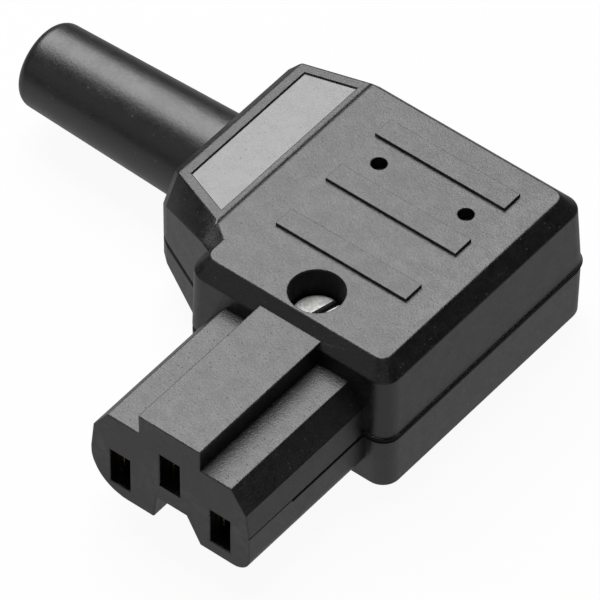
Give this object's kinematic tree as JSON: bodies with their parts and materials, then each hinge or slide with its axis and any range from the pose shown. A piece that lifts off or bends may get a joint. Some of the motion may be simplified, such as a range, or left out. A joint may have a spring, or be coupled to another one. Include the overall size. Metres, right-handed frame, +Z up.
{
  "type": "right-angle appliance power connector",
  "caption": "Black moulded right-angle mains connector: keyed slotted nose, split screwed housing with grip ribs and marking panel, and a soft cord guard leaving sideways.",
  "frame": {"origin": "On the front face of the nose, midway between the line and neutral slots", "axes": "The nose points to -Y and the mating inlet leaves that way, the cord leaves towards -X, +Z is up with the earth slot and the housing screw's head on the upper side"},
  "size_m": [0.0668, 0.0559, 0.0191],
  "materials": {
    "housing_plastic": "fine spark-eroded grain",
    "guard_rubber": "smooth, satin",
    "plated_steel": "bright zinc plate",
    "spring_steel": "tempered, bare",
    "contact_brass": "rolled, bare",
    "clamp_plastic": "moulded"
  },
  "bodies": {
    "housing": {"upper_housing": "housing_plastic", "lower_housing": "housing_plastic", "cord_guard": "guard_rubber", "housing_nut": "plated_steel", "line_contact": "contact_brass", "line_contact_spring": "spring_steel", "line_clamp_plate": "plated_steel", "line_terminal_screw": "plated_steel", "neutral_contact": "contact_brass", "neutral_contact_spring": "spring_steel", "neutral_clamp_plate": "plated_steel", "neutral_terminal_screw": "plated_steel", "earth_contact": "contact_brass", "earth_contact_spring": "spring_steel", "earth_clamp_plate": "plated_steel", "earth_terminal_screw": "plated_steel", "cord_clamp": "clamp_plastic", "front_clamp_screw": "plated_steel", "rear_clamp_screw": "plated_steel"},
    "screw_lift": {"housing_lock_washer": "spring_steel"},
    "screw_turn": {"housing_screw": "plated_steel"}
  },
  "joints": [
    {"name": "housing_screw_lift", "type": "slide", "parent": "housing", "child": "screw_lift", "axis": [0, 0, 1], "range_m": [0, 0.0025]},
    {"name": "housing_screw_turn", "type": "hinge", "parent": "screw_lift", "child": "screw_turn", "pos_m": [0, 0.0254, 0], "axis": [0, 0, 1], "range_deg": [0, 1800]}
  ],
  "couplings": [
    {"joint": "housing_screw_turn", "follows": "housing_screw_lift", "rad_per_m": 12566}
  ]
}
